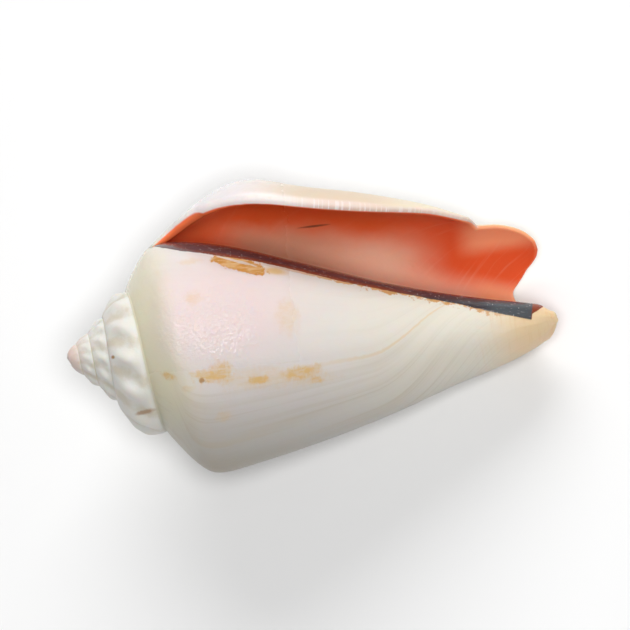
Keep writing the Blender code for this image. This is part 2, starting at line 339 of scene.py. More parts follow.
class Skin:
    # points under names, so that patches which meet share them, and faces with their place on the sheet
    def __init__(self):
        self.numbers, self.points, self.side = {}, [], []
        self.faces, self.places, self.spots = [], [], []

    def point(self, name, position, place, side=0.0):
        if name not in self.numbers:
            self.numbers[name] = len(self.points)
            self.points.append(tuple(position))
            self.side.append(side)
            self.spots.append(place)
        return self.numbers[name], place

    def face(self, *corners):
        corners = corners[::-1]     # seen from outside, the corners run the other way round
        numbers = [number for number, place in corners]
        if len(set(numbers)) == len(numbers):
            self.faces.append(numbers)
            self.places.extend(place for number, place in corners)

    def strip(self, left, right):
        for k in range(len(left) - 1):
            self.face(left[k], left[k + 1], right[k + 1], right[k])

    def fan(self, loop, place, centre=None):
        numbers = [number for number, spot in loop]
        if centre is None:
            flat = np.array([self.points[k] for k in numbers])
            centre = unwind(wind(flat).mean(axis=0)[None, :], flat[:1, 2])[0]
        side = float(np.mean([self.side[k] for k in numbers]))
        middle = self.point(("centre", len(self.points)), centre, place, side)
        for k in range(len(loop)):
            self.face(loop[k], loop[(k + 1) % len(loop)], middle)

    def dome(self, loop, place, steps, height):
        # closes a ring with a round end that points along the shell's axis
        flat = np.array([self.points[number] for number, spot in loop])
        ring = wind(flat)
        middle = ring.mean(axis=0)
        tip = np.array([height, 0.0, 0.0])
        for step in range(1, steps):
            angle = 0.5 * math.pi * step / steps
            points = unwind(middle + (ring - middle) * math.cos(angle) + tip * math.sin(angle), flat[:, 2])
            row = [self.point(("dome", len(self.points)), point, spot)
                   for point, (number, spot) in zip(points, loop)]
            self.strip([*loop, loop[0]], [*row, row[0]])
            loop = row
        self.fan(loop, place, unwind((middle + tip)[None, :], flat[:1, 2])[0])


def unrolledShell():
    # the closed skin of the shell as a flat sheet, before it is wound
    parts = growSheets()
    skin = Skin()
    columns, spire, rows = shellForm["columns"], shellForm["spireRows"], parts["rows"]
    last = shellForm["tipTurn"] * columns
    hollow, canal, first = parts["hollow"], parts["canal"], parts["first"]
    turn, run = parts["turn"], parts["run"]

    def onOuter(column, row):
        place = (float(turn[column, row]), float(run[column, row]))
        if row == 0 and column + columns <= last:
            column, row = column + columns, spire
        return skin.point(("outer", column, row), parts["outer"][column, row], place)

    def onInner(column, row):
        place = (float(turn[column, row]), float(run[column, row]))
        return skin.point(("inner", column, row), parts["inner"][column, row], place, 1.0)

    def roundRim(column, row):
        place = (float(turn[column, row]), float(run[column, row]))
        steps = []
        for k in range(1, shellForm["rimSteps"]):
            share = k / shellForm["rimSteps"]
            steps.append(skin.point(("rim", column, row, k), parts["rim"][column, row, k], place, share))
        return [onOuter(column, row), *steps, onInner(column, row)]

    body, cavity = range(columns + 1), range(hollow + 1)
    for row in range(rows):
        skin.strip([onOuter(k, row) for k in body], [onOuter(k, row + 1) for k in body])
        skin.strip([onInner(k, row + 1) for k in cavity], [onInner(k, row) for k in cavity])
    whorls = range(columns, last + 1)
    for row in range(spire):
        skin.strip([onOuter(k, row) for k in whorls], [onOuter(k, row + 1) for k in whorls])
    pillarRows = range(columns, columns + hollow + 1)
    for row in range(first, rows):
        skin.strip([onOuter(k, row) for k in pillarRows], [onOuter(k, row + 1) for k in pillarRows])
    for k in range(hollow):
        skin.face(onInner(k, 0), onInner(k + 1, 0), onOuter(columns + k + 1, first),
                  onOuter(columns + k, first))
        if k >= canal:
            skin.face(onOuter(columns + k, rows), onOuter(columns + k + 1, rows), onInner(k + 1, rows),
                      onInner(k, rows))
    for before, after in zip(parts["edge"][:-1], parts["edge"][1:]):
        skin.strip(roundRim(*after), roundRim(*before))
    skin.fan([*roundRim(0, 0), *[onOuter(columns, row) for row in range(first, spire, -1)]], (0.0, 0.0))
    back = [onInner(hollow, row) for row in range(rows + 1)]
    pillar = [onOuter(columns + hollow, row) for row in range(first, rows + 1)]
    for row in range(first):
        skin.face(back[row], back[row + 1], pillar[0])
    skin.strip(back[first:], pillar)
    front = [onOuter(k, rows) for k in range(canal, columns + canal + 1)]
    skin.dome([*front, *reversed(roundRim(canal, rows)[1:])], (0.7, 2.0), shellForm["domeSteps"],
              shellForm["domeHeight"] * mm)
    tip = [onOuter(k, 0) for k in range(last - columns, last + 1)]
    skin.fan([*tip, *[onOuter(last, row) for row in range(1, spire)]][::-1], (shellForm["tipTurn"], 0.5),
             (shellForm["tipPlace"], 0.0, shellForm["tipTurn"]))
    return skin


def skinMesh(skin):
    mesh = bpy.data.meshes.new("conchShell")
    mesh.from_pydata(skin.points, [], skin.faces)
    sheetMap = mesh.uv_layers.new(name="sheet")
    sheetMap.data.foreach_set("uv", np.array(skin.places, np.float32).ravel())
    for name, values in (("side", skin.side), ("turnAt", [spot[0] for spot in skin.spots]),
                         ("runAt", [spot[1] for spot in skin.spots])):
        layer = mesh.attributes.new(name, "FLOAT", "POINT")
        layer.data.foreach_set("value", np.array(values, np.float32))
    return mesh


# Geometry Nodes: winds the sheet and raises the growth lines, knobs, crystals and worn places

relief = {
    "Depth Ratio": shellForm["depthRatio"],
    "Knobs Per Turn": 12.0,
    "Knob Share": 0.085,
    "Growth Line Height": 0.10,    # millimetres, as are the other heights
    "Swelling Height": 0.10,
    "Crystal Height": 0.16,
    "Wrinkle Height": 0.22,
    "Band Height": 0.12,
    "Chip Depth": 0.14,
    "Seed": 4.0,
}
reliefPattern = {
    "growthLines": 26.0,      # in one turn
    "wrinkles": 26.0,
    "swellings": 0.16,        # per millimetre, as are the next two
    "knobUnevenness": 0.30,
    "crystals": 0.9,
    "knobLean": 0.02,         # how far the knobs slant along a whorl
}


def windingTree(material):
    tree = bpy.data.node_groups.new("windShell", "GeometryNodeTree")
    tree.interface.new_socket(name="Geometry", in_out="INPUT", socket_type="NodeSocketGeometry")
    sockets = {}
    for name in relief:
        sockets[name] = tree.interface.new_socket(name=name, in_out="INPUT", socket_type="NodeSocketFloat")
    tree.interface.new_socket(name="Geometry", in_out="OUTPUT", socket_type="NodeSocketGeometry")
    bench = Bench(tree)
    given = bench.node("NodeGroupInput")
    spot = bench.node("GeometryNodeInputPosition")
    along = bench.node("ShaderNodeSeparateXYZ", None, {0: spot})
    out, turn = along.out("Y"), along.out("Z")
    angle = turn * (2.0 * math.pi)
    wound = bench.vector(along, out * angle.sum("COSINE"),
                         out * angle.sum("SINE") * given.out("Depth Ratio") * -1.0)
    shell = bench.node("GeometryNodeSetPosition", None, {
        "Geometry": given.out("Geometry"), "Position": wound})

    def named(name):
        return bench.node("GeometryNodeInputNamedAttribute", {"data_type": "FLOAT"}, {"Name": name})

    place = bench.node("ShaderNodeVectorMath", {"operation": "SCALE"}, {
        0: bench.node("GeometryNodeInputPosition"), "Scale": 1.0 / mm})
    shifted = bench.node("ShaderNodeVectorMath", {"operation": "ADD"}, {
        0: place, 1: bench.vector(given.out("Seed"))})
    along = bench.node("ShaderNodeSeparateXYZ", None, {0: place})
    up, toward = along.out("Y"), along.out("Z")
    side, turnAt, runAt = named("side"), named("turnAt"), named("runAt")
    outside = 1.0 - side.ramp(0.0, 0.1)
    growth = turnAt + growthShift(runAt, turnAt)
    onBody = runAt.ramp(0.5, 0.9) * (1.0 - turnAt.ramp(0.90, 0.96)) * turnAt.ramp(0.05, 0.15)
    many = growth * reliefPattern["growthLines"]
    lines = bench.noise(bench.vector(many, runAt * 1.2, given.out("Seed")), 1.0, 1.0, 0.5) - 0.5
    height = lines * outside * onBody * given.out("Growth Line Height")
    slow = bench.noise(shifted, reliefPattern["swellings"], 2.0) - 0.5
    height = height + slow * given.out("Swelling Height") * 2.0 * onBody * outside

    wave = (turnAt + runAt * reliefPattern["knobLean"]) * given.out("Knobs Per Turn") * (2.0 * math.pi)
    wave = wave.sum("COSINE") * 0.5 + 0.5
    keel = runAt.ramp(0.15, 0.62) * (1.0 - runAt.ramp(0.66, 0.98))
    radius = (up * up + toward * toward) ** 0.5
    spireShare = turnAt.ramp(1.0, 1.4) * (1.0 - turnAt.ramp(3.4, 4.2)) * (1.0 - runAt.ramp(0.98, 1.0))
    uneven = bench.noise(shifted, reliefPattern["knobUnevenness"], 2.0) + 0.5
    height = height + (wave ** 1.4 - 0.4) * keel * uneven * radius * given.out("Knob Share") * spireShare
    many = turnAt * reliefPattern["wrinkles"]
    wrinkles = bench.noise(bench.vector(many, runAt * 3.0, given.out("Seed")), 1.0, 2.0, 0.6) - 0.5
    height = height + wrinkles * keel * spireShare * given.out("Wrinkle Height")

    crumbs = bench.noise(shifted, reliefPattern["crystals"], 3.0, 0.6).ramp(0.48, 0.75)
    rim = side.ramp(0.15, 0.4) * (1.0 - side.ramp(0.75, 0.95)) * (1.0 - growth.ramp(0.002, 0.02))
    lipSpan = runAt.ramp(0.25, 0.4) * (1.0 - runAt.ramp(1.05, 1.25))
    height = height + crumbs * rim * lipSpan * given.out("Crystal Height")
    ragged = bench.noise(place, 0.8, 5.0, 0.7) - 0.5
    band = bandMask(along, up, turnAt, runAt, side, ragged * bandForm["raggedness"])
    height = height + band * given.out("Band Height")
    chip = patch(along, up, brushed(bench, along, up, toward) * 0.25, marks["chip"], True)
    chip = chip * toward.ramp(0.0, marks["frontDepth"]) * outside * (1.0 - band)
    height = height - chip * given.out("Chip Depth")
    shell = bench.node("GeometryNodeSetPosition", None, {
        "Geometry": shell,
        "Offset": bench.node("ShaderNodeVectorMath", {"operation": "SCALE"},
                             {0: bench.node("GeometryNodeInputNormal"), "Scale": height * mm})})
    shell = bench.node("GeometryNodeSetShadeSmooth", None, {"Geometry": shell})
    shell = bench.node("GeometryNodeRealizeInstances", None, {"Geometry": shell})
    shell = bench.node("GeometryNodeSetMaterial", None, {"Geometry": shell, "Material": material})
    bench.node("NodeGroupOutput", None, {"Geometry": shell})
    return tree, {name: socket.identifier for name, socket in sockets.items()}


def brushed(bench, along, up, toward):
    # an unevenness drawn out across the shell, for the edges of stains and worn places
    return (bench.noise(bench.vector(along * 1.3, up * 0.75, toward * 0.75), 1.0, 5.0, 0.7) - 0.5) * 2.8


def growthShift(run, turn):
    # growth lines copy the lip's edge: they hang back at mid length and sweep forward near its notch
    return run.ramp(0.6, 1.15) * 0.09 - run.ramp(1.45, 1.85) * (turn.ramp(0.0, 0.4) * 0.2 + 0.12)


def lieDown(points):
    rest = Matrix.Rotation(math.radians(shellForm["restTip"]), 3, "Y") @ Matrix.Rotation(
        math.radians(shellForm["restTurn"]), 3, "X")
    points = points @ np.array(rest).T
    floor = points[:, 2].min() + shellForm["restFlat"] * mm
    points[:, 2] = np.maximum(points[:, 2], floor)
    middle = (points.min(axis=0) + points.max(axis=0)) / 2.0
    solidMiddle = [(nodeBox[0][k] + nodeBox[1][k]) / 2.0 for k in range(2)]
    shift = np.array([middle[0] - solidMiddle[0], middle[1] - solidMiddle[1], floor])
    return points - shift, rest, shift


def plainMesh(thing, mesh):
    # the evaluated shape as an ordinary mesh, with the modifier gone
    bpy.context.view_layer.update()
    result = bpy.data.meshes.new_from_object(thing.evaluated_get(bpy.context.evaluated_depsgraph_get()))
    thing.modifiers.clear()
    thing.data = result
    bpy.data.meshes.remove(mesh)
    return result


def addShell(material):
    mesh = skinMesh(unrolledShell())
    shell = bpy.data.objects.new("conchShell", mesh)
    bpy.context.scene.collection.objects.link(shell)
    tree, identifiers = windingTree(material)
    modifier = shell.modifiers.new("windShell", "NODES")
    modifier.node_group = tree
    for name, value in relief.items():
        modifier[identifiers[name]] = float(value)
    mesh = plainMesh(shell, mesh)
    points = np.empty(len(mesh.vertices) * 3, np.float32)
    mesh.vertices.foreach_get("co", points)
    points, rest, shift = lieDown(points.reshape(-1, 3).astype(float))
    mesh.vertices.foreach_set("co", points.astype(np.float32).ravel())
    mesh.update()
    triangles = sum(len(face.vertices) - 2 for face in mesh.polygons)
    print("shell wound:", len(mesh.vertices), "points,", triangles, "triangles")
    return shell, rest, shift


# The finish: porcelain outside, orange hollow, dark band on the inner lip.
# Places are in millimetres on the shell's own axes: along it, up towards the lip and toward the mouth side.

tints = {
    "porcelain": (0.665, 0.62, 0.598, 1.0),
    "ivory": (0.7, 0.665, 0.58, 1.0),
    "blush": (0.73, 0.6, 0.59, 1.0),
    "olive": (0.69, 0.64, 0.45, 1.0),
    # painted shade: grey for the lower flank, which faces away from the lamps
    "flankPaintedShade": (0.37, 0.355, 0.32, 1.0),
    "growthLine": (0.46, 0.39, 0.29, 1.0),
    "tan": (0.77, 0.57, 0.34, 1.0),
    "amber": (0.66, 0.43, 0.16, 1.0),
    "rust": (0.34, 0.17, 0.06, 1.0),
    "spire": (0.69, 0.675, 0.63, 1.0),
    # cream of the spire's patches, used also as painted shade in the knob valleys
    "spireCreamAndShade": (0.58, 0.52, 0.41, 1.0),
    "spireTip": (0.68, 0.54, 0.49, 1.0),
    "suture": (0.34, 0.28, 0.2, 1.0),
    "lipCream": (0.66, 0.52, 0.38, 1.0),
    "lipPink": (0.71, 0.66, 0.665, 1.0),
    "lipPale": (0.76, 0.66, 0.49, 1.0),
    # the lip rim's white, brightened past its own tone as painted light
    "lipWhiteAndLight": (0.86, 0.80, 0.80, 1.0),
    "lipFlesh": (0.64, 0.45, 0.35, 1.0),
    # the hollow's red under the lip, darkened partly as painted shade
    "underLipRedAndShade": (0.78, 0.13, 0.032, 1.0),
    # painted light: the corner's red, brightened for light that comes through the thin wall
    "redCornerLit": (0.95, 0.2, 0.07, 1.0),
    "brightOrange": (0.81, 0.12, 0.034, 1.0),
    # painted light: the lobe's orange at full brightness, for light that comes through the thin wall
    "lobeOrangeLit": (1, 0.38, 0.2, 1.0),
    "salmon": (0.97, 0.53, 0.38, 1.0),
    "paleHollow": (0.86, 0.51, 0.36, 1.0),
    "bandMaroon": (0.115, 0.062, 0.066, 1.0),
    "bandSlate": (0.05, 0.04, 0.046, 1.0),
    "bandRed": (0.24, 0.055, 0.025, 1.0),
    "gold": (0.55, 0.27, 0.07, 1.0),
    "bandEnd": (0.075, 0.085, 0.095, 1.0),
    "brownHollow": (0.60, 0.30, 0.19, 1.0),
    "scratch": (0.16, 0.06, 0.025, 1.0),
    # painted glints and sheen on the dark band
    "bandGlint": (0.60, 0.58, 0.58, 1.0),
}
marks = {   # middle along, middle up, half length, half height, tilt in degrees
    "stains": (
        (12.4, -3.2, 1.2, 0.5, -22.0), (17.6, -3.6, 2.6, 0.95, -3.0), (18.9, -3.3, 1.6, 1.5, 0.0),
        (23.4, -4.5, 1.7, 0.6, 0.0), (28.4, -4.1, 3.0, 1.0, 9.0), (30.2, -5.1, 1.0, 0.5, 0.0),
    ),
    "faintStains": (
        (27.4, 2.9, 1.7, 2.6, 0.0), (16.2, 6.05, 1.3, 0.9, 0.0), (18.7, -8.6, 1.0, 0.9, 0.0),
        (24.5, -4.4, 9.0, 1.6, -3.0), (16.1, 10.5, 1.7, 0.5, 0.0), (14.6, -4.9, 0.8, 0.45, -10.0),
    ),
    "core": (16.5, -4.05, 0.5, 0.32, -20.0),
    "blush": (19.5, 4.6, 12.0, 8.0, 0.0),
    "chip": (21.9, 9.75, 3.7, 0.95, -20.0),
    "chipStreak": (21.6, 10.15, 2.6, 0.16, -19.0),
    "chipTail": (26.3, 8.5, 1.9, 0.55, -12.0),
    "hollowScratch": (31.5, 13.75, 2.1, 0.16, 2.0),
    "crackle": (18.0, 2.6, 7.0, 6.0, 0.0),
    "pit": (5.72, -0.35, 0.3, 0.28, 0.0),
    "crevice": (9.1, -7.35, 1.5, 0.34, 8.0),
    "yellowLine": 0.79,      # which growth line is stained yellow
    "frontDepth": 2.5,       # how far forward the visible side's marks fade in
}
bandForm = {
    "start": 12.1,           # along, where the band's lower edge starts, and how high it lies there
    "height": 12.66,
    "fall": -0.276,
    "belly": 0.5,
    "step": 0.75,            # the corner of its front end
    "stepPlace": 57.15,
    "stepWidth": 0.2,
    "frontFall": 0.8,
    "end": 58.7,
    "raggedness": 0.3,
}
lipEdgeForm = {"height": 17.1, "fall": 4.4, "start": 14.0, "end": 56.0}
finish = {
    "growthFine": 130.0,     # growth lines in one turn
    "growthBroad": 34.0,
    "stain": 0.85,
    "faintStain": 0.30,
    "hiddenStain": 0.45,
    "gloss": 0.09,
    "greaseRough": 0.1,
    "dullRough": 0.26,
    "subsurface": 0.5,
    "subsurfaceRadius": (1.0, 0.45, 0.25),
    "subsurfaceScale": 0.002,
    "bump": 0.6,
    "growthBump": 0.012,     # millimetres, as are the other bumps
    "rippleBump": 0.04,
    "smallRippleBump": 0.045,
    "crackleBump": 0.22,
    "spireBump": 0.02,
    "bandBump": 0.03,
    "leastBump": 0.003,
}


def patch(along, up, wobble, spot, crisp=False):
    # an ellipse, with a soft edge unless it is crisp
    middleAlong, middleUp, halfLong, halfHigh, tilt = spot
    cosine, sine = math.cos(math.radians(tilt)), math.sin(math.radians(tilt))
    ahead, above = along - middleAlong, up - middleUp
    long = (ahead * cosine + above * sine) / halfLong
    high = (above * cosine - ahead * sine) / halfHigh
    inside, outside = (0.85, 1.0) if crisp else (0.3, 1.15)
    return 1.0 - ((long * long + high * high) ** 0.5 + wobble).ramp(inside, outside)


def bandEdge(along):
    # how far up the dark band's lower edge lies, nearly straight down to the front end
    form = bandForm
    edge = (along - form["start"]) * form["fall"] + form["height"]
    edge = edge + along.ramp(12.0, 24.0) * (1.0 - along.ramp(24.0, 38.0)) * form["belly"]
    stepEnd = form["stepPlace"] + form["stepWidth"]
    edge = edge - along.ramp(48.0, 53.0) * 0.2 + along.ramp(form["stepPlace"], stepEnd) * form["step"]
    return edge + (along - stepEnd).most(0.0) * form["frontFall"]


def lipEdgeUp(along):
    form = lipEdgeForm
    return form["height"] - along.ramp(form["start"], form["end"], "LINEAR") * form["fall"]


def bandMask(along, up, turn, run, side, ragged):
    reach = (up - bandEdge(along) + ragged).ramp(-0.05, 0.05)
    span = turn.ramp(0.64, 0.68) * (1.0 - turn.ramp(1.12, 1.16)) * run.ramp(1.0, 1.01)
    ends = 1.0 - along.ramp(bandForm["end"], bandForm["end"] + 0.2)
    return reach * span * (1.0 - side.ramp(0.1, 0.2)) * ends


def fineGrowth(bench, growth, run):
    return bench.noise(bench.vector(growth * finish["growthFine"], run * 1.6, 3.0), 1.0, 3.0, 0.65)


# Zones: where a colour or a mask starts, and where it is full

bodyZones = {
    "ivory": (26.0, 46.0), "shoulderLean": (0.0, 10.0), "shoulder": (10.0, 16.0),
    "lowFlankShade": (3.5, 15.0), "tanFront": (50.5, 58.0), "brownAndShadedUnderside": (12.4, 16.0),
    "wornFlank": (0.0, 11.0), "wornFront": (30.0, 44.0), "wornFrontEnds": (49.0, 56.0),
    "fineLines": (0.5, 0.72), "broadLines": (0.5, 0.74), "spiralsFront": (48.0, 54.0),
    "yellowLine": (0.001, 0.006), "yellowStarts": (1.26, 1.36), "yellowEnds": (1.67, 1.71),
    "yellowPales": (1.3, 1.55), "hiddenStains": (0.62, 0.74), "behind": (0.0, 3.0),
}


def bodyColour(bench, own, along, up, toward, turn, run, growth):
    zone = bodyZones
    cloud = bench.noise(own, 0.12, 3.0, 0.55)
    wobble = brushed(bench, along, up, toward)
    front = toward.ramp(0.0, marks["frontDepth"])
    colour = bench.mix(along.ramp(*zone["ivory"]), tints["porcelain"], tints["ivory"])
    colour = bench.mix(cloud.ramp(0.45, 0.7) * 0.35, colour, tints["ivory"])
    colour = bench.mix(patch(along, up, wobble * 0.1, marks["blush"]) * front * 0.8, colour, tints["blush"])
    lean = (3.0 - up).ramp(*zone["shoulderLean"]) * 3.5
    shoulder = 1.0 - (along + cloud * 3.0 - lean).ramp(*zone["shoulder"])
    colour = bench.mix(shoulder * 0.9, colour, tints["olive"])
    # painted shade: the lower flank is greyed and darkened towards the bottom
    colour = bench.mix((0.0 - up).ramp(*zone["lowFlankShade"]) * 0.85, colour, tints["flankPaintedShade"])
    colour = bench.mix((along + cloud * 2.0).ramp(*zone["tanFront"]) * 0.9, colour, tints["tan"])

    fine = fineGrowth(bench, growth, run)
    # the bottom edge is browner in tone, and darker still as painted shade
    brown = (0.0 - up - along * 0.02 + fine * 2.0).ramp(*zone["brownAndShadedUnderside"])
    colour = bench.mix(brown * 0.55, colour, tints["suture"])
    broad = bench.noise(bench.vector(growth * finish["growthBroad"], run * 1.1, 7.0), 1.0, 3.0, 0.6)
    worn = along.ramp(*zone["wornFront"]) * (1.0 - along.ramp(*zone["wornFrontEnds"])) * 0.22
    worn = (0.0 - up).ramp(*zone["wornFlank"]) * 0.75 + worn + 0.08
    colour = bench.mix(fine.ramp(*zone["fineLines"]) * worn * 0.42, colour, tints["growthLine"])
    colour = bench.mix(broad.ramp(*zone["broadLines"]) * worn * 0.5, colour, tints["growthLine"])
    spirals = bench.noise(bench.vector(run * 90.0 + wobble * 0.3, turn * 3.0, 1.0), 1.0, 2.0, 0.6)
    spirals = spirals.ramp(0.5, 0.75) * along.ramp(*zone["spiralsFront"])
    colour = bench.mix(spirals * 0.3, colour, tints["amber"])
    thread = (growth + wobble * 0.0035 - marks["yellowLine"]).size()
    lineSpan = run.ramp(*zone["yellowStarts"]) * (1.0 - run.ramp(*zone["yellowEnds"])) * front
    faded = run.ramp(*zone["yellowPales"]) * 0.3 + 0.1
    colour = bench.mix((1.0 - thread.ramp(*zone["yellowLine"])) * lineSpan * faded, colour, tints["amber"])

    streaks = bench.noise(bench.vector(along * 0.7, up * 2.2, toward * 2.2), 1.0, 3.0, 0.6)
    streaks = streaks.ramp(0.3, 0.6) * 0.5 + 0.5
    for strength, kind in ((finish["stain"], "stains"), (finish["faintStain"], "faintStains")):
        reach = None
        for spot in marks[kind]:
            mask = patch(along, up, wobble * 0.6, spot)
            reach = mask if reach is None else reach.most(mask)
        colour = bench.mix(reach * streaks * front * strength, colour, tints["amber"])
    colour = bench.mix(patch(along, up, wobble * 0.8, marks["core"]) * front * 0.7, colour, tints["rust"])
    hidden = bench.noise(bench.vector(along * 0.5, up * 0.16, toward * 0.16), 1.0, 4.0, 0.6)
    hidden = hidden.ramp(*zone["hiddenStains"]) * (0.0 - toward).ramp(*zone["behind"])
    colour = bench.mix(hidden * finish["hiddenStain"], colour, tints["amber"])

    tail = patch(along, up, wobble * 0.15, marks["chipTail"])
    colour = bench.mix(tail * front * 0.8, colour, tints["amber"])
    layers = bench.noise(bench.vector(along * 0.5, up * 2.6, 8.0), 1.0, 3.0, 0.6).ramp(0.42, 0.6)
    chipColour = bench.mix(layers * 0.45, tints["gold"], tints["tan"])
    colour = bench.mix(patch(along, up, wobble * 0.6, marks["chip"], True) * front, colour, chipColour)
    streak = patch(along, up, wobble * 0.8, marks["chipStreak"], True)
    return bench.mix(streak * front * 0.7, colour, tints["porcelain"])


def spireColour(bench, own, along, up, toward, turn, run):
    blotch = bench.noise(own, 0.55, 4.0, 0.6)
    wave = (turn + run * reliefPattern["knobLean"]) * (relief["Knobs Per Turn"] * 2.0 * math.pi)
    wave = wave.sum("COSINE") * -0.5 + 0.5
    # between the knobs: cream patches, and painted shade darkening the valleys
    valleyCreamAndShade = (wave * 0.8 + (blotch - 0.5) * 1.6).ramp(0.35, 1.0) * 0.75
    colour = bench.mix(valleyCreamAndShade, tints["spire"], tints["spireCreamAndShade"])
    colour = bench.mix(1.0 - along.ramp(0.2, 2.6), colour, tints["spireTip"])
    seamLine = (1.0 - run.ramp(0.0, 0.05)).most(run.ramp(0.97, 1.0)) * (1.0 - turn.ramp(2.6, 3.4) * 0.6)
    colour = bench.mix(seamLine * (blotch * 0.8 + 0.3), colour, tints["suture"])
    front = toward.ramp(0.0, 1.5)
    wobble = (bench.noise(own, 1.4, 3.0, 0.6) - 0.5) * 1.2
    # a brown crevice and a dark pit on the spire's visible side
    darkMarks = patch(along, up, wobble, marks["crevice"]) * 0.7
    darkMarks = darkMarks.most(patch(along, up, wobble * 0.2, marks["pit"]))
    return bench.mix(darkMarks * front, colour, tints["rust"])


hollowZones = {
    "paleDepth": (0.5, 5.5), "salmonOverBand": (0.3, 3.5), "salmonStarts": (20.0, 42.0),
    "brightFront": (40.0, 49.0), "brownEnds": (28.0, 40.0), "brownDepth": (0.5, 4.0),
    "salmonLow": (0.5, 5.0), "salmonFront": (40.0, 46.0), "lobeUp": (-0.3, 1.8), "lobe": (48.0, 51.5),
    "lobeLow": (1.5, 5.0), "lobeLowFront": (49.0, 53.0), "redCornerLit": (17.0, 25.0),
    "grainFront": (36.0, 46.0),
}


def hollowColour(bench, own, along, up, turn, run):
    zone = hollowZones
    drift = (bench.noise(own, 0.22, 3.0, 0.5) - 0.5) * 2.2
    depth = lipEdgeUp(along) - up + drift
    overBand = up - bandEdge(along)
    # just under the lip edge the hollow is a deeper red, its own colour darkened as painted shade where the
    # lip overhangs; further down it pales
    colour = bench.mix(depth.ramp(*zone["paleDepth"]), tints["underLipRedAndShade"], tints["paleHollow"])
    nearBand = (1.0 - overBand.ramp(*zone["salmonOverBand"])) * along.ramp(*zone["salmonStarts"])
    colour = bench.mix(nearBand * 0.6, colour, tints["salmon"])
    colour = bench.mix((along + drift).ramp(*zone["brightFront"]), colour, tints["brightOrange"])
    brown = (1.0 - along.ramp(*zone["brownEnds"])) * depth.ramp(*zone["brownDepth"])
    colour = bench.mix(brown * 0.85, colour, tints["brownHollow"])
    low = (1.0 - overBand.ramp(*zone["salmonLow"])) * along.ramp(*zone["salmonFront"])
    colour = bench.mix(low * 0.9, colour, tints["salmon"])
    # the lobe and the hollow's low front end take their own orange brightened as painted light, for the glow
    # through the thin wall
    lobe = (up - 8.2 + drift * 0.3 - (along - 50.0) * 0.05).ramp(*zone["lobeUp"])
    lobe = lobe * along.ramp(*zone["lobe"])
    colour = bench.mix(lobe, colour, tints["lobeOrangeLit"])
    lowFront = (1.0 - overBand.ramp(*zone["lobeLow"])) * along.ramp(*zone["lobeLowFront"])
    colour = bench.mix(lowFront, colour, tints["lobeOrangeLit"])
    # the rear corner takes its red brightened as painted light, for the glow through the thin wall
    colour = bench.mix(1.0 - (along + drift * 0.8).ramp(*zone["redCornerLit"]), colour, tints["redCornerLit"])
    inner = turn.ramp(0.3, 0.6) * (1.0 - turn.ramp(0.85, 0.95))
    colour = bench.mix(inner * 0.5, colour, tints["paleHollow"])
    grain = bench.noise(bench.vector(turn * 60.0 + run * 50.0, run * 5.0, 2.0), 1.0, 3.0, 0.6)
    grain = grain.ramp(0.5, 0.8) * (along.ramp(*zone["grainFront"]) * 0.12 + 0.06)
    colour = bench.mix(grain, colour, tints["salmon"])
    scratch = patch(along, up, (bench.noise(own, 1.2, 2.0, 0.5) - 0.5) * 0.5, marks["hollowScratch"])
    return bench.mix(scratch * 0.85, colour, tints["scratch"])


def lipColour(bench, own, along, run, side, growth):
    crust = bench.noise(own, 1.1, 4.0, 0.6)
    colour = bench.mix((along + crust * 3.0).ramp(23.0, 32.0), tints["lipPink"], tints["lipCream"])
    colour = bench.mix(along.ramp(36.0, 46.0), colour, tints["lipPale"])
    edge = (side + crust * 0.3 - 0.15).most((0.03 - growth) * 30.0 - 0.35)
    # the lip's rim is white, brighter still as painted light where it turns down from the lamps
    colour = bench.mix(edge.ramp(0.0, 0.5), colour, tints["lipWhiteAndLight"])
    colour = bench.mix(edge.ramp(0.0, 0.5) * along.ramp(26.0, 34.0) * 0.7, colour, tints["lipFlesh"])
    # painted glints: short white ticks across the lip's inner edge stand for highlights on its small ridges
    paintedGlintTicks = bench.noise(run * 110.0, 1.0, 2.0, 0.7, "1D").ramp(0.5, 0.62)
    span = along.ramp(26.0, 32.0) * (1.0 - along.ramp(39.0, 47.0) * 0.8)
    colour = bench.mix(paintedGlintTicks * edge.ramp(0.1, 0.5) * span * 0.8, colour, tints["lipWhiteAndLight"])
    chalk = crust.ramp(0.5, 0.75) * (1.0 - along.ramp(22.0, 34.0))
    return bench.mix(chalk * 0.5, colour, tints["porcelain"])


bandZones = {
    "slate": (30.0, 50.0), "lowerEdge": (0.15, 0.55), "redStarts": (14.0, 22.0),
    "redEnds": (38.0, 46.0), "greyEnd": (50.5, 53.5), "redTip": (57.0, 57.2),
}


def bandColour(bench, own, along, up):
    zone = bandZones
    overEdge = up - bandEdge(along)
    colour = bench.mix(along.ramp(*zone["slate"]), tints["bandMaroon"], tints["bandSlate"])
    lower = 1.0 - overEdge.ramp(*zone["lowerEdge"])
    redder = lower * along.ramp(*zone["redStarts"]) * (1.0 - along.ramp(*zone["redEnds"])) * 0.85
    colour = bench.mix(along.ramp(*zone["greyEnd"]), colour, tints["bandEnd"])
    colour = bench.mix(redder.most((along - up * 0.2).ramp(*zone["redTip"])), colour, tints["bandRed"])
    # painted glints: sparse small pale dots stand for highlights on the band's tiny bumps
    cells = bench.node("ShaderNodeTexVoronoi", None, {"Vector": own, "Scale": 1.9})
    few = bench.node("ShaderNodeSeparateXYZ", None, {0: cells.out("Color")}).ramp(0.4, 0.5)
    colour = bench.mix((1.0 - cells.ramp(0.06, 0.15)) * few * 0.9, colour, tints["bandGlint"])
    # painted sheen: pale streaks along the band stand for its reflections
    paintedSheenStreaks = bench.noise(bench.vector(along * 1.1, overEdge * 3.4, 5.0), 1.0, 4.0, 0.7)
    return bench.mix(paintedSheenStreaks.ramp(0.55, 0.72) * 0.3, colour, tints["bandGlint"])


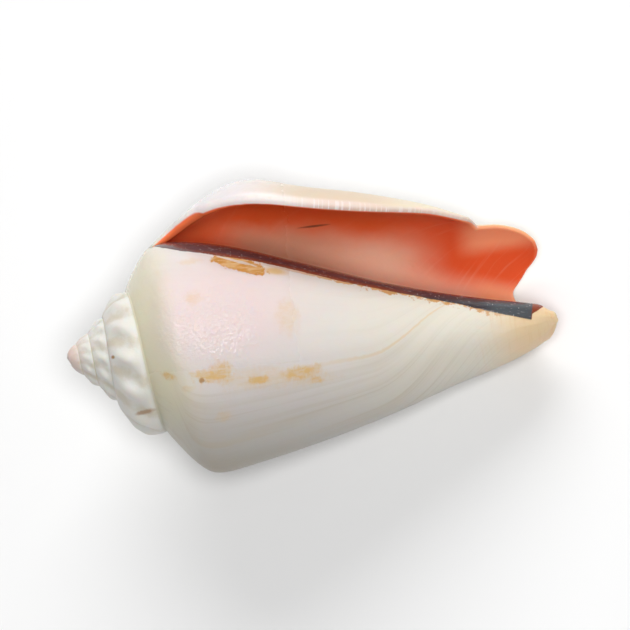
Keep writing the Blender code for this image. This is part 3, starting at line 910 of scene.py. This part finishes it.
def ownAxes(bench, rest, shift):
    # places on the shell's own axes, in millimetres
    upright = rest.transposed()
    turned = upright @ Vector(shift) / mm
    return bench.node("ShaderNodeMapping", None, {
        "Vector": bench.node("ShaderNodeTexCoord").out("Object"), "Location": turned,
        "Rotation": upright.to_euler(), "Scale": (1.0 / mm, 1.0 / mm, 1.0 / mm)})


def finishShell(material, rest, shift):
    material.use_nodes = True
    surface = material.node_tree.nodes["Principled BSDF"]
    bench = Bench(material.node_tree)
    own = ownAxes(bench, rest, shift)
    along = bench.node("ShaderNodeSeparateXYZ", None, {0: own})
    up, toward = along.out("Y"), along.out("Z")
    turn = bench.node("ShaderNodeSeparateXYZ", None, {0: bench.node("ShaderNodeUVMap", {"uv_map": "sheet"})})
    run = turn.out("Y")
    side = bench.node("ShaderNodeAttribute", {"attribute_name": "side"}, out="Fac")
    growth = turn + growthShift(run, turn)

    colour = bodyColour(bench, own, along, up, toward, turn, run, growth)
    onSpire = (1.0 - run.ramp(0.96, 0.999)) * turn.ramp(0.99, 1.35)
    colour = bench.mix(onSpire, colour, spireColour(bench, own, along, up, toward, turn, run))
    onLip = (1.0 - growth.ramp(0.05, 0.13)) * run.ramp(0.5, 0.9) * (1.0 - run.ramp(1.64, 1.7))
    colour = bench.mix(onLip, colour, lipColour(bench, own, along, run, side, growth))

    ragged = bench.noise(own, 0.8, 5.0, 0.7) - 0.5
    tatters = (bench.noise(own, 1.1, 5.0, 0.75) - 0.5) * (along.ramp(30.0, 38.0) * 3.0 + 0.6)
    flake = bandMask(along, up + tatters + 0.26, turn, run, side, 0.0)
    flake = flake * along.ramp(20.0, 36.0) * 0.9 * (1.0 - along.ramp(50.0, 56.0))
    colour = bench.mix(flake, colour, tints["gold"])
    corner = (1.0 - run.ramp(0.85, 1.15)) * 0.25
    insideEdge = side.ramp(0.58 - corner, 0.7 - corner)
    insideEdge = insideEdge.most(side.ramp(0.3, 0.5) * run.ramp(1.64, 1.68))
    inHollow = insideEdge.most(turn.ramp(1.08, 1.12) * run.ramp(1.0, 1.02))
    colour = bench.mix(inHollow, colour, hollowColour(bench, own, along, up, turn, run))
    band = bandMask(along, up, turn, run, side, ragged * bandForm["raggedness"])
    colour = bench.mix(band, colour, bandColour(bench, own, along, up))
    bench.tree.links.new(colour.socket, surface.inputs["Base Color"])

    grease = bench.noise(own, 0.35, 4.0, 0.6)
    dull = onSpire.most((0.0 - up).ramp(0.8, 4.5)).most(along.ramp(24.0, 32.0)) * (1.0 - band)
    rough = grease * finish["greaseRough"] + finish["gloss"] + dull * finish["dullRough"]
    bench.tree.links.new(rough.socket, surface.inputs["Roughness"])
    surface.inputs["Subsurface Weight"].default_value = finish["subsurface"]
    surface.inputs["Subsurface Radius"].default_value = finish["subsurfaceRadius"]
    surface.inputs["Subsurface Scale"].default_value = finish["subsurfaceScale"]

    ripple = bench.noise(own, 0.55, 2.0, 0.5) * finish["rippleBump"]
    ripple = ripple + bench.noise(own, 1.3, 3.0, 0.6) * finish["smallRippleBump"]
    grit = bench.noise(own, 2.6, 3.0, 0.6)
    lines = fineGrowth(bench, growth, run) * (1.0 - inHollow) * (1.0 - onSpire)
    height = lines * finish["growthBump"] + ripple
    height = height + grit * (onSpire * finish["spireBump"] + band * finish["bandBump"] + finish["leastBump"])
    crackle = bench.noise(own, 2.2, 2.0, 0.5) * patch(along, up, grease - 0.5, marks["crackle"])
    height = height + crackle * finish["crackleBump"]
    bump = bench.node("ShaderNodeBump", None, {"Strength": finish["bump"], "Distance": mm, "Height": height})
    bench.tree.links.new(bump.socket, surface.inputs["Normal"])
    print("shell finished:", len(bench.tree.nodes), "nodes")


# Camera, floor and light

view = {
    "middle": (30.73, 2.76, 2.0),   # the point of the shell at the picture's centre, on its own axes
    "distance": 0.9,
    "width": 0.0773,                # what the picture spans at that distance
    "axisAngle": 4.7,               # degrees that the shell's axis rises to the right
    "sensor": 36.0,
}
studio = {
    "floorHalf": 3.0,
    "floorGrey": (0.86, 0.86, 0.86, 1.0),
    "floorRoughness": 0.8,
    "sky": 0.145,
    "lamps": (                      # name, place, size, power
        ("window", (0.0, 0.72, 0.5), (0.8, 0.5), 5.7),
        ("overhead", (0.17, -0.09, 0.78), (0.3, 0.3), 4.4),
    ),
    "glints": (                     # only mirrored in the shell
        ("glintLeft", (-0.24, 0.22, 0.76), (0.05, 0.6), 0.9),
        ("glintRight", (0.34, 0.16, 0.75), (0.1, 0.17), 0.9),
    ),
    "glintSide": (0.48, 0.84, -0.25),   # the way their long sides point
}


def addCamera(rest, shift):
    angle = math.radians(view["axisAngle"])
    right = Vector((math.cos(angle), -math.sin(angle), 0.0))
    up = Vector((math.sin(angle), math.cos(angle), 0.0))
    columns = [rest @ axis for axis in (right, up, Vector((0.0, 0.0, 1.0)))]
    turned = Matrix(columns).transposed()
    middle = rest @ (Vector(view["middle"]) * mm) - Vector(shift)
    camera = bpy.data.objects.new("camera", bpy.data.cameras.new("camera"))
    camera.matrix_world = Matrix.Translation(middle + columns[2] * view["distance"]) @ turned.to_4x4()
    camera.data.sensor_width = view["sensor"]
    camera.data.lens = view["sensor"] * view["distance"] / view["width"]
    camera.data.clip_start = 0.01
    camera.data.dof.use_dof = False
    bpy.context.scene.collection.objects.link(camera)
    bpy.context.scene.camera = camera
    print("camera placed")


def addFloor():
    size = studio["floorHalf"]
    mesh = bpy.data.meshes.new("floor")
    mesh.from_pydata([(-size, -size, 0.0), (size, -size, 0.0), (size, size, 0.0), (-size, size, 0.0)], [],
                     [(0, 1, 2, 3)])
    floor = bpy.data.objects.new("floor", mesh)
    bpy.context.scene.collection.objects.link(floor)
    paint = bpy.data.materials.new("paleFloor")
    paint.use_nodes = True
    surface = paint.node_tree.nodes["Principled BSDF"]
    surface.inputs["Base Color"].default_value = studio["floorGrey"]
    surface.inputs["Roughness"].default_value = studio["floorRoughness"]
    mesh.materials.append(paint)


def addLight(name, place, size, power, mirrored=False, longSide=(0.0, 0.0, 1.0)):
    # a soft lamp lights the surface and a glint lamp is only mirrored in it
    data = bpy.data.lights.new(name, "AREA")
    data.shape, data.energy = "ELLIPSE", power
    data.size, data.size_y = size
    lamp = bpy.data.objects.new(name, data)
    lamp.visible_glossy, lamp.visible_diffuse = mirrored, not mirrored
    back = Vector(place).normalized()
    upward = (Vector(longSide) - back * back.dot(Vector(longSide))).normalized()
    turned = Matrix((upward.cross(back), upward, back)).transposed()
    lamp.matrix_world = Matrix.Translation(place) @ turned.to_4x4()
    bpy.context.scene.collection.objects.link(lamp)


def addLights():
    for lamp in studio["lamps"]:
        addLight(*lamp)
    for lamp in studio["glints"]:
        addLight(*lamp, mirrored=True, longSide=studio["glintSide"])
    world = bpy.data.worlds.new("studio")
    world.use_nodes = True
    sky = world.node_tree.nodes["Background"]
    sky.inputs["Color"].default_value = (1.0, 1.0, 1.0, 1.0)
    sky.inputs["Strength"].default_value = studio["sky"]
    bpy.context.scene.world = world
    bpy.context.scene.view_settings.view_transform = "Standard"
    print("lights placed")


porcelain = bpy.data.materials.new("conchPorcelain")
shell, rest, shift = addShell(porcelain)
finishShell(porcelain, rest, shift)
addCamera(rest, shift)
addFloor()
addLights()
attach(shell, "root")
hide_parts("conch_shell")
